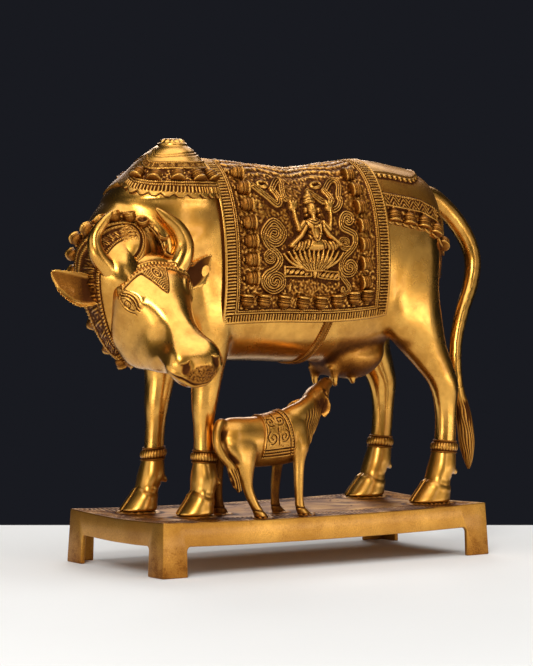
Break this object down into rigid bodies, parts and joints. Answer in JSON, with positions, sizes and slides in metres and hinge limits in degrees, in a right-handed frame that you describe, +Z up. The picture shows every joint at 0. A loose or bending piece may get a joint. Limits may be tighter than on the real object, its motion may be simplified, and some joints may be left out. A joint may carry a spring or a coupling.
{
  "type": "kamdhenu cow statue",
  "caption": "Cast brass standing cow with a turned head, horns, bell collar and figured saddle cloth, suckling a calf, on a flat stand raised on corner feet.",
  "frame": {"origin": "centre of the bounding box's footprint, on the floor that the stand's feet rest on", "axes": "+Z up; the cow stands along X with her tail towards +X and her head turned to her left, towards -Y; the calf stands on her -Y side with its nose towards +X"},
  "size_m": [0.4456, 0.1924, 0.3573],
  "materials": {
    "stand_brass": "satin, dark in the corners of the top and rubbed bright on its edges",
    "cow_brass": "polished on the smooth forms, dark red-brown in the hollows of the ornament",
    "calf_brass": "polished, browner than the cow, dark in the hollows"
  },
  "bodies": {
    "root": {"stand": "stand_brass", "cow": "cow_brass", "calf": "calf_brass"}
  },
  "joints": []
}
